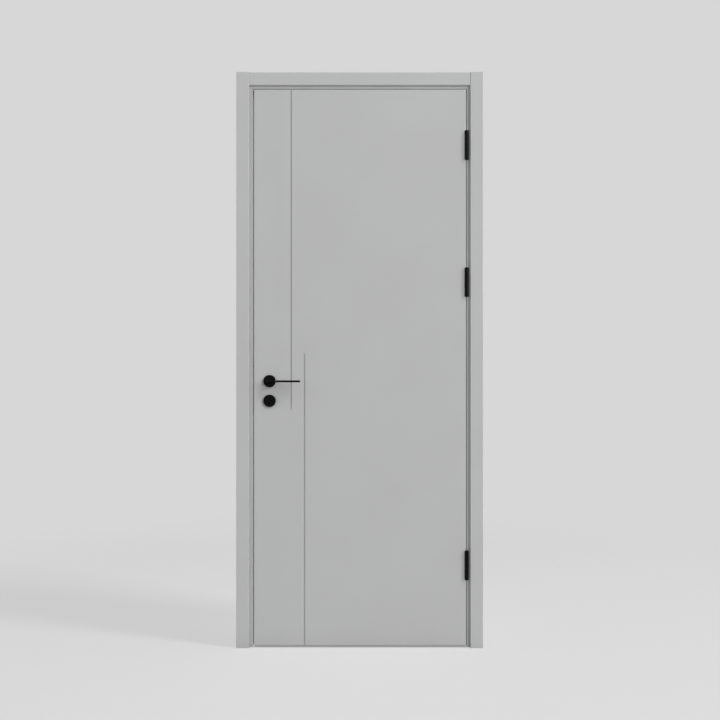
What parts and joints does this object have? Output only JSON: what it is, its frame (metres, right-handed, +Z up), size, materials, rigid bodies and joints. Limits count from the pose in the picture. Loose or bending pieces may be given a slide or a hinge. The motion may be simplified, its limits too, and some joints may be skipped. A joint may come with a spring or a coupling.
{
  "type": "prehung interior door",
  "caption": "Flush grey interior door leaf hung in its cased frame, with two offset vertical grooves, slim black lever furniture and black butt hinges.",
  "frame": {"origin": "on the hinge jamb's wall face, at floor level, in the middle of the frame's depth", "axes": "+Z up; +X out of the hinge jamb into the wall, to the right seen from the front; the front with the hinge barrels looks along -Y"},
  "size_m": [0.9, 0.228, 2.1],
  "materials": {
    "grey_lacquer": "satin",
    "black_metal": "matte",
    "seal_rubber": "matte",
    "zinc_steel": "satin"
  },
  "bodies": {
    "frame": {"hinge_jamb": "grey_lacquer", "lock_jamb": "grey_lacquer", "head_jamb": "grey_lacquer", "hinge_stop": "grey_lacquer", "lock_stop": "grey_lacquer", "head_stop": "grey_lacquer", "front_casing_right": "grey_lacquer", "front_casing_left": "grey_lacquer", "front_casing_head": "grey_lacquer", "back_casing_right": "grey_lacquer", "back_casing_left": "grey_lacquer", "back_casing_head": "grey_lacquer", "hinge_seal": "seal_rubber", "lock_seal": "seal_rubber", "head_seal": "seal_rubber", "strike_plate": "black_metal", "top_hinge_jamb_plate": "black_metal", "top_hinge_pin": "black_metal", "middle_hinge_jamb_plate": "black_metal", "middle_hinge_pin": "black_metal", "bottom_hinge_jamb_plate": "black_metal", "bottom_hinge_pin": "black_metal"},
    "leaf": {"front_skin": "grey_lacquer", "back_skin": "grey_lacquer", "lock_stile": "grey_lacquer", "hinge_stile": "grey_lacquer", "top_rail": "grey_lacquer", "bottom_rail": "grey_lacquer", "top_hinge_leaf_plate": "black_metal", "middle_hinge_leaf_plate": "black_metal", "bottom_hinge_leaf_plate": "black_metal", "front_rose": "black_metal", "back_rose": "black_metal", "front_escutcheon": "black_metal", "back_escutcheon": "black_metal", "key_cylinder": "black_metal", "lock_forend": "black_metal", "latch_bolt": "black_metal", "dead_bolt": "black_metal", "lock_case": "zinc_steel"},
    "levers": {"front_lever": "black_metal", "back_lever": "black_metal", "spindle": "zinc_steel"}
  },
  "joints": [
    {"name": "leaf_swing", "type": "hinge", "parent": "frame", "child": "leaf", "pos_m": [-0.0375, -0.089, 1], "axis": [0, 0, 1], "range_deg": [0, 170]},
    {"name": "lever_turn", "type": "hinge", "parent": "leaf", "child": "levers", "pos_m": [-0.757, -0.0575, 0.973], "axis": [0, 1, 0], "range_deg": [0, 45], "stiffness_Nm_per_rad": 1.5, "springref_deg": -20.05}
  ]
}
